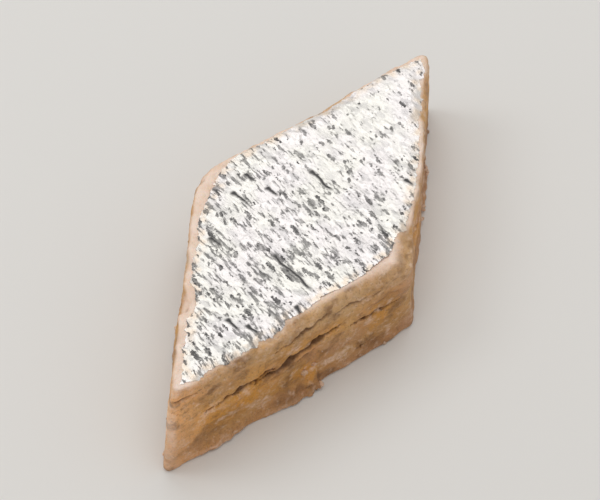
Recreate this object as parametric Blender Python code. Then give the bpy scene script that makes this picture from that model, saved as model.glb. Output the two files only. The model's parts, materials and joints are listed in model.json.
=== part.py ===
"""Kaju barfi: one lozenge cut from a slab of cashew paste, with a sheet of edible silver leaf on its top.

Metres, +Z up. The long diagonal lies along X, with the front tip at -X, and the short one along Y.
The origin is under the middle of the piece, on the surface that it rests on.
"""

import math
from collections import namedtuple

import bmesh
import bpy
from mathutils import Vector, geometry, noise

MM = 0.001

# The lozenge as it was cut.
SIDE = 40 * MM
SHARP_ANGLE = math.radians(48)
THICKNESS = 12.8 * MM
TOP_SLOPE = Vector((-0.028, 0.025))  # how the top rises along X and Y: the slab was rolled unevenly
HALF_LENGTH = SIDE * math.cos(SHARP_ANGLE / 2)
HALF_WIDTH = SIDE * math.sin(SHARP_ANGLE / 2)
REACH = SIDE / 2 * math.sin(SHARP_ANGLE)  # from the middle to each side

# Corners, counter-clockwise from above. Side n runs from corner n to the next.
FRONT, RIGHT, BACK, LEFT = range(4)
CORNERS = (
    Vector((-HALF_LENGTH, 0)),
    Vector((0, -HALF_WIDTH)),
    Vector((HALF_LENGTH, 0)),
    Vector((0, HALF_WIDTH)),
)
CORNER_RADII = (0.7 * MM, 1.8 * MM, 0.8 * MM, 4.5 * MM)
LEAST_RADIUS = 0.3 * MM
# How far each corner's foot lies from a point right under its top, as the knife leaned.
FOOT_SHIFTS = (
    Vector((-2.4, 0.1)) * MM,
    Vector((0.1, -0.1)) * MM,
    Vector((0.4, 0.2)) * MM,
    Vector((-0.2, 0.6)) * MM,
)

# Edges that the knife left: a soft crown at the top and a ragged foot.
CROWN_RADIUS = 0.7 * MM
FOOT_RADIUS = 0.3 * MM
FOOT_HEIGHT = 1.6 * MM

# Relief is smooth noise: its depth, how far it reaches in plan and in height, and where it is read.
Relief = namedtuple("Relief", "depth reach rise seed")
BULGE = Relief(0.48 * MM, 14 * MM, 14 * MM, 5.9)
STRATA = Relief(0.35 * MM, 9 * MM, 1.6 * MM, 1.7)
FOOT_CRUMBS = Relief(0.50 * MM, 2.2 * MM, 2.2 * MM, 0.0)
TOP_SWELL = Relief(0.26 * MM, 13 * MM, 13 * MM, 3.1)
TOP_DIMPLES = Relief(0.11 * MM, 3.2 * MM, 3.2 * MM, 7.7)

# Places along a side. Each starts at a share of the side's length and fades out over half_length.
Stretch = namedtuple("Stretch", "side share half_length depth")

# The seam at about half height, where the rolled paste was folded. It gapes in a few places.
SEAM_HEIGHT = THICKNESS / 2
SEAM_WANDER = Relief(1.4 * MM, 12 * MM, 12 * MM, 11.3)
SEAM_GAPE = 0.5 * MM
SEAM_DEPTH = 0.09 * MM
SPLIT_RAGGED = Relief(0.5, 1.7 * MM, 1.7 * MM, 0.0)
SPLITS = (
    Stretch(FRONT, 0.52, 6.5 * MM, 1.0 * MM),
    Stretch(FRONT, 0.83, 3.0 * MM, 0.5 * MM),
    Stretch(RIGHT, 0.34, 5.5 * MM, 0.8 * MM),
    Stretch(RIGHT, 0.80, 3.5 * MM, 0.6 * MM),
    Stretch(BACK, 0.42, 9.0 * MM, 0.9 * MM),
    Stretch(LEFT, 0.25, 4.0 * MM, 0.7 * MM),
    Stretch(LEFT, 0.66, 6.0 * MM, 0.9 * MM),
)

# Lips of paste that the knife pressed out at the foot.
LIPS = (
    Stretch(FRONT, 0.47, 6.0 * MM, 0.55 * MM),
    Stretch(RIGHT, 0.60, 4.0 * MM, 0.35 * MM),
    Stretch(BACK, 0.25, 5.0 * MM, 0.40 * MM),
    Stretch(LEFT, 0.45, 4.5 * MM, 0.35 * MM),
)

# Crumbs that broke out of an edge, each a shallow round scoop. height is a share of the thickness, and rise
# the angle of the scoop's middle above the level. A scoop at a share of 0 is at the corner itself.
Scoop = namedtuple("Scoop", "side share height rise radius depth")
SCOOP_RAGGED = Relief(0.12, 1.3 * MM, 1.3 * MM, 0.0)
SCOOPS = (
    Scoop(LEFT, 0.00, 1.00, math.radians(50), 6.0 * MM, 1.1 * MM),
    Scoop(FRONT, 0.00, 1.00, math.radians(62), 3.0 * MM, 0.7 * MM),
    Scoop(FRONT, 0.71, 1.00, math.radians(45), 3.6 * MM, 0.5 * MM),
    Scoop(RIGHT, 0.52, 1.00, math.radians(50), 4.5 * MM, 0.6 * MM),
    Scoop(BACK, 0.00, 0.98, math.radians(35), 2.6 * MM, 0.8 * MM),
    Scoop(BACK, 0.63, 1.00, math.radians(48), 3.4 * MM, 0.5 * MM),
    Scoop(LEFT, 0.58, 1.00, math.radians(52), 4.0 * MM, 0.5 * MM),
    Scoop(RIGHT, 0.00, 0.46, math.radians(0), 3.2 * MM, 0.6 * MM),
)

# The silver leaf, which stops a little short of the cut edges.
LEAF_THICKNESS = 0.2 * MM
LEAF_GAP = 0.3 * MM
LEAF_MARGIN = 0.8 * MM
LEAF_RAGGED = Relief(0.56 * MM, 4.5 * MM, 4.5 * MM, 9.2)
LEAF_WRINKLES = Relief(0.16 * MM, 2.6 * MM, 2.6 * MM, 4.4)
BARE_CORNERS = (0.5 * MM, 0.9 * MM, 0.1 * MM, 1.2 * MM)  # how much wider the margin is at each corner
BARE_REACH = 7 * MM

# Fineness of the meshes.
CELLS = 40  # along each side of the paste
CROWDING = 0.35  # how much closer the cells lie at the corners
CROWN_ROWS = 3
UPPER_ROWS = 5
LOWER_ROWS = 6
SIDE_ROWS = CROWN_ROWS + UPPER_ROWS + LOWER_ROWS + 3  # with the seam, the lip under it and the foot
LEAF_CELLS = 24
TINY = 1e-9

PASTE_COLOUR = (0.72, 0.53, 0.34, 1)
SILVER_COLOUR = (0.86, 0.86, 0.85, 1)


def ripple(relief, place, height=0.0):
    """The relief's noise over a point of the plan, at a height."""
    spot = Vector((place.x / relief.reach, place.y / relief.reach, height / relief.rise))
    return relief.depth * noise.noise(spot + Vector((relief.seed, -relief.seed, 0)))


def side_normal(side):
    """The outward direction of a side, level."""
    run = CORNERS[(side + 1) % 4] - CORNERS[side]
    return Vector((run.y, -run.x)).normalized()


NORMALS = tuple(side_normal(side) for side in range(4))


def side_place(side, share):
    """A point of a side's line in plan."""
    return CORNERS[side].lerp(CORNERS[(side + 1) % 4], share)


def nearest_on_outline(point, scale):
    """The point of the sharp lozenge, drawn to that scale, which lies nearest."""
    found = []
    for side in range(4):
        start, end = side_place(side, 0) * scale, side_place(side, 1) * scale
        share = min(1, max(0, geometry.intersect_point_line(point, start, end)[1]))
        found.append(start.lerp(end, share))
    return min(found, key=lambda place: (place - point).length)


def plan_place(across, back, inset):
    """A point of the plan. across runs from the front tip to the right corner and back from the front tip
    to the left corner, both 0 to 1. The outline is drawn in by inset, and its corners are rounded."""
    scale = 1 - inset / REACH
    right, left = CORNERS[RIGHT] - CORNERS[FRONT], CORNERS[LEFT] - CORNERS[FRONT]
    point = (CORNERS[FRONT] + right * across + left * back) * scale
    corner = min(range(4), key=lambda n: (CORNERS[n] * scale - point).length)
    core = scale - max(CORNER_RADII[corner] - inset, LEAST_RADIUS) / REACH
    if all(point.dot(normal) <= REACH * core for normal in NORMALS):
        return point
    nearest = nearest_on_outline(point, core)
    offset = point - nearest
    if offset.length < TINY:
        return point
    return nearest + offset * max(offset.normalized().dot(normal) for normal in NORMALS)


def outline_beyond(across, back):
    """The point of the outline that lies beyond a point of the plan, seen from the middle."""
    stretch = 0.5 / max(abs(across - 0.5), abs(back - 0.5), TINY)
    return plan_place(0.5 + (across - 0.5) * stretch, 0.5 + (back - 0.5) * stretch, 0)


def strength(place, stretches):
    """The largest depth that these stretches have at a point of the outline."""
    depth = 0.0
    for stretch in stretches:
        away = (place - side_place(stretch.side, stretch.share)).length / stretch.half_length
        if away < 1:
            depth = max(depth, stretch.depth * math.sqrt(1 - away * away))
    return depth


def top_height(place):
    """The height of the paste's top over a point of the plan."""
    return THICKNESS + TOP_SLOPE.dot(place) + ripple(TOP_SWELL, place) + ripple(TOP_DIMPLES, place)


def seam_depth(place):
    """How far the seam is open at a point of the outline."""
    return max(SEAM_DEPTH, strength(place, SPLITS) * (1 + ripple(SPLIT_RAGGED, place)))


def side_relief(place, height):
    """How far a cut side stands out at a height: its bulge, the paste's strata and the ragged foot."""
    low = max(0.0, 1 - height / FOOT_HEIGHT) ** 2
    foot = FOOT_CRUMBS.depth / 3 + ripple(FOOT_CRUMBS, place) + strength(place, LIPS)
    return ripple(BULGE, place, height) + ripple(STRATA, place, height) + foot * low


def scooped(point):
    """The point, pushed out of every scoop that it lies in."""
    for scoop in SCOOPS:
        place, out = side_place(scoop.side, scoop.share), NORMALS[scoop.side]
        if scoop.share == 0:
            out = place.normalized()
        aim = (out * math.cos(scoop.rise)).to_3d()
        aim.z = math.sin(scoop.rise)
        edge = place.to_3d()
        edge.z = THICKNESS * scoop.height
        middle = edge + aim * (scoop.radius - scoop.depth)
        radius = scoop.radius * (1 + ripple(SCOOP_RAGGED, point, point.z))
        if (point - middle).length < radius:
            point = middle + (point - middle).normalized() * radius
    return point


def leaned(point, across, back):
    """The point, shifted towards the foot as the knife leaned there."""
    front_edge = FOOT_SHIFTS[FRONT].lerp(FOOT_SHIFTS[RIGHT], across)
    back_edge = FOOT_SHIFTS[LEFT].lerp(FOOT_SHIFTS[BACK], across)
    shift = front_edge.lerp(back_edge, back) * (1 - point.z / THICKNESS)
    return point + shift.to_3d()


def top_place(across, back, margin):
    """A point of the plan, drawn in by a margin from the cut sides as they really stand at the top."""
    outline = outline_beyond(across, back)
    return plan_place(across, back, margin - side_relief(outline, top_height(outline)))


def top_point(across, back):
    """A point of the paste's top, inside the crown."""
    place = top_place(across, back, CROWN_RADIUS)
    return leaned(scooped(Vector((place.x, place.y, top_height(place)))), across, back)


def section(place):
    """(height, inset) of each row of the cut side under a point of the outline, from crown to foot."""
    top = top_height(place)
    seam = SEAM_HEIGHT + ripple(SEAM_WANDER, place)
    shoulder, upper_lip, lower_lip = top - CROWN_RADIUS, seam + SEAM_GAPE / 2, seam - SEAM_GAPE / 2
    rows = []
    for row in range(1, CROWN_ROWS + 1):
        turn = math.pi / 2 * row / CROWN_ROWS
        rows.append((shoulder + CROWN_RADIUS * math.cos(turn), CROWN_RADIUS * (1 - math.sin(turn))))
    for row in range(1, UPPER_ROWS + 1):
        rows.append((shoulder + (upper_lip - shoulder) * row / UPPER_ROWS, 0.0))
    rows.append((seam, seam_depth(place)))
    for row in range(LOWER_ROWS + 1):
        rows.append((lower_lip + (FOOT_RADIUS - lower_lip) * row / LOWER_ROWS, 0.0))
    rows.append((0.0, FOOT_RADIUS))
    return rows


def side_point(across, back, row):
    """A point of a row of the cut side, where the outline passes the shares across and back."""
    outline = plan_place(across, back, 0)
    out = (outline - plan_place(across, back, CROWN_RADIUS)).normalized()
    height, inset = section(outline)[row]
    place = outline + out * (side_relief(outline, height) - inset)
    point = Vector((place.x, place.y, height))
    if row < SIDE_ROWS - 1:
        point = scooped(point)
    return leaned(point, across, back)


def grid_of_shares(mesh, cells):
    """A level grid in the bmesh, and the two layers that hold its points' shares across and back."""
    across = mesh.verts.layers.float.new("across")
    back = mesh.verts.layers.float.new("back")
    bmesh.ops.create_grid(mesh, x_segments=cells, y_segments=cells, size=0.5)
    for vert in mesh.verts:
        for layer, share in ((across, vert.co.x + 0.5), (back, vert.co.y + 0.5)):
            vert[layer] = share - CROWDING * math.sin(math.tau * share) / math.tau
    return across, back


def paste_mesh():
    """The paste: its top is a grid, whose edge is extruded down row by row, and its foot is one flat face."""
    mesh = bmesh.new()
    across, back = grid_of_shares(mesh, CELLS)
    for vert in mesh.verts:
        vert.co = top_point(vert[across], vert[back])
    for row in range(SIDE_ROWS):
        rim = [edge for edge in mesh.edges if edge.is_boundary]
        made = bmesh.ops.extrude_edge_only(mesh, edges=rim)["geom"]
        for vert in (item for item in made if isinstance(item, bmesh.types.BMVert)):
            vert.co = side_point(vert[across], vert[back], row)
    bmesh.ops.contextual_create(mesh, geom=[edge for edge in mesh.edges if edge.is_boundary])
    bmesh.ops.recalc_face_normals(mesh, faces=mesh.faces[:])
    return mesh


def leaf_margin(across, back):
    """How far the leaf's torn edge lies inside the cut side, in the direction of this point."""
    outline = outline_beyond(across, back)
    margin = LEAF_MARGIN + ripple(LEAF_RAGGED, outline)
    for corner, extra in zip(CORNERS, BARE_CORNERS):
        margin += extra * max(0.0, 1 - (outline - corner).length / BARE_REACH)
    return margin


def leaf_mesh():
    """The leaf's lower face. Its quads are split here, so that the upper face is split alike."""
    mesh = bmesh.new()
    across, back = grid_of_shares(mesh, LEAF_CELLS)
    for vert in mesh.verts:
        place = top_place(vert[across], vert[back], leaf_margin(vert[across], vert[back]))
        height = top_height(place) + LEAF_GAP + abs(ripple(LEAF_WRINKLES, place))
        vert.co = leaned(Vector((place.x, place.y, height)), vert[across], vert[back])
    bmesh.ops.triangulate(mesh, faces=mesh.faces[:])
    return mesh


def material(name, colour, roughness, metallic):
    """A Principled material of one colour."""
    made = bpy.data.materials.new(name)
    made.use_nodes = True
    shader = made.node_tree.nodes["Principled BSDF"]
    shader.inputs["Base Color"].default_value = colour
    shader.inputs["Roughness"].default_value = roughness
    shader.inputs["Metallic"].default_value = metallic
    return made


def add_object(name, mesh, surface, parent):
    """An object of the bmesh, in one material, under the parent."""
    data = bpy.data.meshes.new(name)
    mesh.to_mesh(data)
    mesh.free()
    data.materials.append(surface)
    data.shade_smooth()
    made = bpy.data.objects.new(name, data)
    made.parent = parent
    bpy.context.scene.collection.objects.link(made)
    return made


def build_paste(parent):
    surface = material("cashew_paste", PASTE_COLOUR, 0.6, 0.0)
    return add_object("cashew_paste", paste_mesh(), surface, parent)


def build_leaf(parent):
    surface = material("silver_leaf", SILVER_COLOUR, 0.35, 1.0)
    leaf = add_object("silver_leaf", leaf_mesh(), surface, parent)
    thicken = leaf.modifiers.new("thickness", "SOLIDIFY")
    thicken.thickness = LEAF_THICKNESS
    thicken.offset = 1
    return leaf


def middle_of(piece):
    """The middle of a piece's box in plan."""
    xs = [vert.co.x for vert in piece.data.vertices]
    ys = [vert.co.y for vert in piece.data.vertices]
    return Vector((min(xs) + max(xs), min(ys) + max(ys), 0)) / 2


def main():
    for old in list(bpy.data.objects):
        bpy.data.objects.remove(old)
    barfi = bpy.data.objects.new("kaju_barfi", None)
    bpy.context.scene.collection.objects.link(barfi)
    paste = build_paste(barfi)
    build_leaf(barfi)
    barfi.location = -middle_of(paste)


main()
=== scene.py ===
"""The looks of one piece of kaju barfi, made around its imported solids: cashew paste cut with a knife, a
torn and wrinkled sheet of silver leaf, a few crumbs, and a pale studio to see them in."""

import json
import math
import random
from collections import Counter, namedtuple
from contextlib import contextmanager

import bpy
import numpy
from bpy.props import FloatProperty, FloatVectorProperty, IntProperty, PointerProperty
from bpy.types import Operator, Panel, PropertyGroup
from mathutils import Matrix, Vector, noise
from mathutils.kdtree import KDTree

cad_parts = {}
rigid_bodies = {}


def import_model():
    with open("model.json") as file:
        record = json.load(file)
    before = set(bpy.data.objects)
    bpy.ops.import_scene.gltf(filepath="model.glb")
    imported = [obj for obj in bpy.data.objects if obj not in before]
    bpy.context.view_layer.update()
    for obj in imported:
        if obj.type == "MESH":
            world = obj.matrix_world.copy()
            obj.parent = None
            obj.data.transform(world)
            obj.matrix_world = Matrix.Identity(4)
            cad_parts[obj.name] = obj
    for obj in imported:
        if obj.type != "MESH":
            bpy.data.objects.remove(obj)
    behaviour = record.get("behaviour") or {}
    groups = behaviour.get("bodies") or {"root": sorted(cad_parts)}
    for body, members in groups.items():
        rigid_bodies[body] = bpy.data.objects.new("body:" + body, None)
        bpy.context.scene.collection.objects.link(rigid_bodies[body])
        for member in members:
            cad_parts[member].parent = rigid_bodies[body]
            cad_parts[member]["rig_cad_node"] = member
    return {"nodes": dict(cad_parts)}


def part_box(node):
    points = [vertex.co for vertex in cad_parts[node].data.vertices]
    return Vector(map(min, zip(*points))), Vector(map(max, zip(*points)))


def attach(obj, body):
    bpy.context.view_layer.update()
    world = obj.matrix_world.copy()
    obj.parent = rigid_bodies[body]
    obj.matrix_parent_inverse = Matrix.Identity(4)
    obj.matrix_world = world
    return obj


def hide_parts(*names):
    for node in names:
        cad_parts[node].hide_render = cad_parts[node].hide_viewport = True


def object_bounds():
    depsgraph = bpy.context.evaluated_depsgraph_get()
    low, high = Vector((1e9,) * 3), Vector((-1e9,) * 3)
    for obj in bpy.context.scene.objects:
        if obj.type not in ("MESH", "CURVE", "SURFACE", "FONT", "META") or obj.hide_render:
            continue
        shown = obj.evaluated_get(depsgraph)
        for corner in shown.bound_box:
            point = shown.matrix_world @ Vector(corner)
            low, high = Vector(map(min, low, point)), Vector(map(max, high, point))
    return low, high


bl_info = {
    "name": "Kaju Barfi",
    "version": (1, 0, 0),
    "blender": (4, 5, 0),
    "location": "View3D > Sidebar > Kaju Barfi",
    "description": "Makes the paste, the silver leaf and the crumbs of a kaju barfi, and a studio",
    "category": "Object",
}

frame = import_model()
CAD_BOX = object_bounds()
PASTE_LOW, PASTE_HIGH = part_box("cashew_paste")

MM = 0.001
PER_MM = 1 / MM
SHARP_EDGE = math.radians(60)  # a bend above this, as at the leaf's torn edge, stays sharp

# The lozenge's corners in plan, counter-clockwise from above. Side n runs from corner n to the next.
FRONT, RIGHT, BACK, LEFT = SIDES = range(4)
CORNERS = (
    Vector((PASTE_LOW.x, 0, 0)),
    Vector((0, PASTE_LOW.y, 0)),
    Vector((PASTE_HIGH.x, 0, 0)),
    Vector((0, PASTE_HIGH.y, 0)),
)
RUNS = [CORNERS[(side + 1) % 4] - CORNERS[side] for side in SIDES]

# How upright a normal is past which a vertex lies on the flat top, on the underside, and on no cut side.
TOP_FLAT = 0.9
UNDERSIDE = -0.99
OFF_SIDE = 0.7

# Pairs say where something starts and where it is full: a rise by a point's height, a lean by how upright
# its normal is, and a reach by how far inside a cut side it lies, unless a comment names another distance.
WORN_REACH = (2.0 * MM, 0.2 * MM)
WORN_RISE = (7 * MM, 10 * MM)
LUMPS_LEAN = (0.985, 0.75)
LUMPS_RISE = (0.1 * MM, 0.6 * MM)
LIP_LEAN = (-0.35, -0.1)
LIP_RISE = (3.2 * MM, 0.4 * MM)
BED_REACH = (2.2 * MM, 3.2 * MM)

# The seam where the rolled paste was folded wanders up and down as it does in the solid, in millimetres.
SEAM_SWING = 1.4
SEAM_REACH = 12
SEAM_START = Vector((11.3, -11.3, 0))
APART = Vector((5, 0, 0))  # moves a noise off, so that it doesn't rise and fall with another one
LEAST_GAPE = 0.02  # half the width of a crack at its ends, in millimetres
# Cracks in the cut sides: from where to where along a side each runs, in shares of its length, its half
# width in millimetres, how deep it is as a share of the full depth, and how many millimetres it lies above
# the seam.
Crack = namedtuple("Crack", "side start end width depth above")
CRACKS = (
    Crack(FRONT, 0.16, 0.45, 0.80, 1.0, 1.3),
    Crack(FRONT, 0.36, 0.73, 0.96, 1.0, 0.8),
    Crack(FRONT, 0.76, 0.97, 0.38, 0.6, -0.2),
    Crack(FRONT, 0.03, 0.16, 0.30, 0.3, 5.8),
    Crack(FRONT, 0.45, 0.70, 0.45, 0.5, 4.9),
    Crack(FRONT, 0.70, 0.90, 0.36, 0.4, 4.0),
    Crack(RIGHT, 0.10, 0.58, 0.36, 0.7, 0.0),
    Crack(RIGHT, 0.64, 0.92, 0.26, 0.4, 2.4),
    Crack(BACK, 0.16, 0.68, 0.40, 0.8, 0.0),
    Crack(BACK, 0.74, 0.92, 0.24, 0.4, -2.2),
    Crack(LEFT, 0.08, 0.44, 0.28, 0.5, 0.0),
    Crack(LEFT, 0.50, 0.86, 0.38, 0.8, 0.2),
)
# Lumps that the knife left on the cut sides: how far they reach along a side and up it, in millimetres, and
# their share of the full depth.
Lumps = namedtuple("Lumps", "reach rise depth")
LUMPS = (Lumps(4.5, 2.6, 1.0), Lumps(1.8, 1.3, 0.7), Lumps(0.55, 0.5, 0.36))
# Lips of paste that the knife pressed out at the foot: where along a side each runs, its share of the full
# width, and over which share of the side it grows out of the foot and goes back into it.
Lip = namedtuple("Lip", "side start end width growth fall")
LIPS = (
    Lip(FRONT, 0.05, 0.36, 0.50, 0.14, 0.12),
    Lip(FRONT, 0.36, 0.625, 1.00, 0.20, 0.02),
    Lip(RIGHT, 0.45, 0.70, 0.40, 0.12, 0.02),
    Lip(BACK, 0.10, 0.38, 0.45, 0.12, 0.02),
    Lip(LEFT, 0.35, 0.55, 0.40, 0.12, 0.02),
)
# Stretches where the crown has crumbled and the leaf is torn further back: where along a side each runs,
# and its share of the full depth. Each fades in and out over a share of the side.
Crumbled = namedtuple("Crumbled", "side start end depth")
CRUMBLED_FADE = 0.1
CRUMBLED = (
    Crumbled(FRONT, 0.10, 0.40, 0.60),
    Crumbled(FRONT, 0.28, 0.60, 0.78),
    Crumbled(FRONT, 0.44, 1.10, 1.00),
    Crumbled(RIGHT, -0.10, 0.24, 1.00),
    Crumbled(RIGHT, 0.62, 0.90, 0.50),
    Crumbled(BACK, 0.30, 0.62, 0.60),
    Crumbled(LEFT, 0.30, 0.48, 0.50),
)
# Golden stains on the cut sides: how far along each lies, its height above the foot and its reach in
# millimetres.
Stain = namedtuple("Stain", "side share height reach")
STAINS = (
    Stain(FRONT, 0.19, 5.8, 5.8),
    Stain(FRONT, 0.32, 5.6, 4.6),
    Stain(FRONT, 0.58, 3.6, 3.0),
    Stain(FRONT, 0.88, 6.4, 2.6),
    Stain(RIGHT, 0.30, 4.6, 4.0),
    Stain(RIGHT, 0.76, 8.2, 3.2),
    Stain(BACK, 0.22, 8.0, 3.6),
    Stain(BACK, 0.70, 5.0, 3.2),
    Stain(LEFT, 0.18, 7.4, 3.0),
    Stain(LEFT, 0.56, 4.6, 4.0),
)
# The painted highlight on the upright edge at each corner, by how far a point lies from the corner in plan.
CORNER_EDGES = ((2.3 * MM, 0.7 * MM), (1.5 * MM, 0.4 * MM), (2.3 * MM, 0.7 * MM), (1.5 * MM, 0.4 * MM))

# Tones of the paste that its material reads, each from 0 to 1: how pale it is, from painted highlights on
# its edges and corners and painted top light on its crown, and on a crumb from its own paler tone; how much
# painted shade lies in a crack or hollow; how golden it is and how dusty. A bend is above 0 on an edge and
# below 0 in a hollow.
Tones = namedtuple("Tones", "rubbed sunken golden dusty")
EDGE_BEND = (0.020, 0.07)
EDGE_RISE = (0.5 * MM, 2.5 * MM)
HOLLOW_BEND = (-0.015, -0.07)
CRACK_GAPE = (0.02, 0.35)
CRACK_BESIDE = (0.05, 0)
CORNER_RISE = (1 * MM, 6 * MM)
TAN_REACH = (3.4 * MM, 1.2 * MM)
DUSTY_RISE = (8 * MM, 12 * MM)
TOP_LEAN = (0.4, 0.9)
TOP_RISE = (5 * MM, 9 * MM)
TOP_COVER = (0.12, 0.85)

# The paste's underside, and its top from so far inside, are made coarser, and keep this share of their
# triangles.
HIDDEN_REACH = 3.5 * MM
HIDDEN_RATIO = 0.60

CRUMB_SPAN = (0.06, 0.94)  # between which shares of a side the crumbs lie
CRUMBS_AT_LIPS = 0.4  # the share of them that lies where the last lip of a side ends
LIP_SPAN = (-0.04, 0.03)  # how far before and past its end, as a share of the side
CRUMB_RISE = 9 * MM  # how far up a side they reach, though most of them stay near the foot
SMALLEST_CRUMB = 0.35  # its width as a share of the largest one's
CRUMB_STRETCH = (0.7, 1.25)  # the least and the most that a crumb is stretched along each axis
CRUMB_STAND = 0.12  # how far a crumb's middle stands out of the paste, as a share of its width
OUTSIDE = 5 * MM  # how far outside a cut side the search for a crumb's place on it starts

# What the torn leaf leaves bare: of the crown at each side, more near each corner by how far a point lies
# from it, and more where the crown has crumbled. The torn edge wanders by such depths over such reaches, in
# millimetres.
LEAF_LEAN = 0.75  # how upright the paste's normal has to be under the leaf
SIDE_MARGINS = (0.25 * MM, 0.35 * MM, 0.25 * MM, 0.90 * MM)
CORNER_MARGINS = (0.8 * MM, 1.2 * MM, 0.1 * MM, 1.3 * MM)
CORNER_REACH = (8 * MM, 2 * MM)
TORN_BACK = 1.2 * MM
Wander = namedtuple("Wander", "reach depth")
TEARS = (Wander(3.0, 0.45), Wander(0.9, 0.30), Wander(0.4, 0.12))
# By how far inside its torn edge a point lies, the leaf is crumpled, and lets the paste show through.
CRUMPLED_REACH = (0, 1.3 * MM)
THIN_REACH = (1.9 * MM, 0.2 * MM)
LIFT = 1.5  # how many times its thickness the leaf is lifted off the paste

# The creases and specks of the leaf run this way, nearly square to the cut front side.
CREASE_ANGLE = math.radians(68)
CREASE_RUN = Vector((math.cos(CREASE_ANGLE), math.sin(CREASE_ANGLE)))
# Folds in the leaf: where the middle of each lies, in millimetres, and how long it is.
Crease = namedtuple("Crease", "x y length")
CREASES = (
    Crease(-8.6, -3.3, 9.8),
    Crease(7.9, 1.1, 5.4),
    Crease(2.8, 5.8, 2.4),
    Crease(3.5, 9.7, 1.8),
    Crease(-0.4, 9.1, 3.0),
    Crease(-9.0, 7.9, 2.4),
    Crease(-14.2, -7.6, 2.6),
    Crease(-20.1, -3.7, 2.4),
    Crease(-20.6, -1.1, 2.8),
    Crease(13.5, -9.2, 1.6),
)
FOLD_WIDTH = 0.28  # half the width of a fold, in millimetres
FOLD_CREST = 0.35  # the share of a fold's width that its flat crest takes
FOLD_WANDER = Wander(2.2, 0.4)
KNOT_WIDTH = 0.26  # how much wider a fold is at its knot, in millimetres
KNOT_PLACE = 0.38  # how far the knot lies from the fold's middle, as a share of its length
KNOT_REACH = (0.8, 0.1)  # how far from there it starts and is full, in millimetres
# Facets of the crumpled leaf: their reach along and across the creases, in millimetres, and how far they
# lean.
Facets = namedtuple("Facets", "along across lean")
FACETS = (Facets(4.2, 2.0, 0.9), Facets(1.9, 1.0, 1.2))
FACET_SPREAD = 50  # sets the facets' middles so far apart that each draws its own lean

# Where the colours change along the piece from its middle, and up it from its foot, in millimetres.
GOLDEN_LIGHT_STRETCH = (-12, -24)
TIP_LIGHT_STRETCH = (-28.5, -36.5)
SPECKED_STRETCH = (32, -6)
ROSY_FOOT = (3.5, 0.5)
SHADED_FOOT = (8, 3)
MIX_COLOURS, MIX_RESULT = (6, 7), 2  # the places of a Mix node's colour sockets among all that it has

# Lights: their angle round the piece and above the floor in degrees, how far off and how wide they are in
# metres, their power as a share of the key light's, and their colour.
Light = namedtuple("Light", "name azimuth elevation distance width power colour")
LIGHTS = (
    Light("key", 118.4, 52, 0.6, 0.55, 1.0, (1, 1, 1)),
    Light("glint", -161.6, 45, 0.6, 0.25, 0.7, (1, 1, 1)),
    Light("ceiling", 0, 90, 1.2, 1.2, 3.9, (1, 1, 1)),
    Light("reflector", -35, 10, 0.6, 0.4, 0.3, (1.0, 0.62, 0.36)),
)


def length_setting(name, description, default, least=0.0):
    """A setting that holds a length."""
    return FloatProperty(
        name=name, description=description, unit="LENGTH", default=default, min=least, precision=6)


def colour_setting(name, description, default):
    """A setting that holds a colour."""
    return FloatVectorProperty(
        name=name, description=description, subtype="COLOR", default=default, min=0, max=1)


class PasteSettings(PropertyGroup):
    cell: length_setting(
        "Cell", "Side of the cells that the paste is remeshed into", 0.19 * MM, least=0.1 * MM)
    lumps: length_setting(
        "Lumps", "Depth of the lumps and smears that the knife left on the cut sides", 0.34 * MM)
    split: length_setting(
        "Split", "How much deeper the splits in the cut sides are than in the solid", 1.0 * MM)
    seam_height: length_setting(
        "Seam height", "Height at which the rolled paste was folded, where it splits", 6.8 * MM)
    lip: length_setting("Lip", "How far the paste was pressed out at the foot", 1.5 * MM)
    worn: length_setting("Worn crown", "How far the crown has sunk where it has crumbled", 0.8 * MM)
    bed: length_setting("Bed", "How far the top under the middle of the leaf is pressed in", 0.12 * MM)
    colour: colour_setting("Paste", "Colour of the cut paste", (0.63, 0.358, 0.132))
    # The golden colour serves golden stains and blotches, and also a painted warm light that grows towards
    # the front tip.
    golden_and_warm_light_colour: colour_setting(
        "Golden paste", "Colour of the paste where more of its fat has browned", (0.66, 0.302, 0.045))
    # The front tip's colour is a painted warm highlight on the rounded tip, fading over its last
    # millimetres.
    tip_light_colour: colour_setting(
        "Front tip", "Colour of the paste at its front tip, where it dried the most", (0.98, 0.53, 0.24))
    rosy_colour: colour_setting(
        "Rosy paste", "Colour of the paste in patches and towards its foot", (0.585, 0.300, 0.165))
    dusty_colour: colour_setting(
        "Dusty paste", "Colour of the crown where it has crumbled", (0.62, 0.405, 0.215))
    # The deep colour serves the paste's own darker layers, smears and grain, and also painted shade towards
    # its foot and in its pits.
    deep_and_shade_colour: colour_setting(
        "Deep paste", "Colour of the paste in its hollows and darker layers", (0.23, 0.108, 0.036))
    # Painted shade deep in the splits and hollows of the paste.
    crack_shade_colour: colour_setting("Cracks", "Colour of the paste deep in its splits", (0.16, 0.07, 0.022))
    # The pale colour serves the paste's own pale smears and crumbs, and also painted highlights on its edges
    # and corners and painted top light on its crown.
    pale_colour: colour_setting(
        "Pale paste", "Colour of the rubbed edges and of the top under the leaf", (0.98, 0.775, 0.65))


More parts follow.
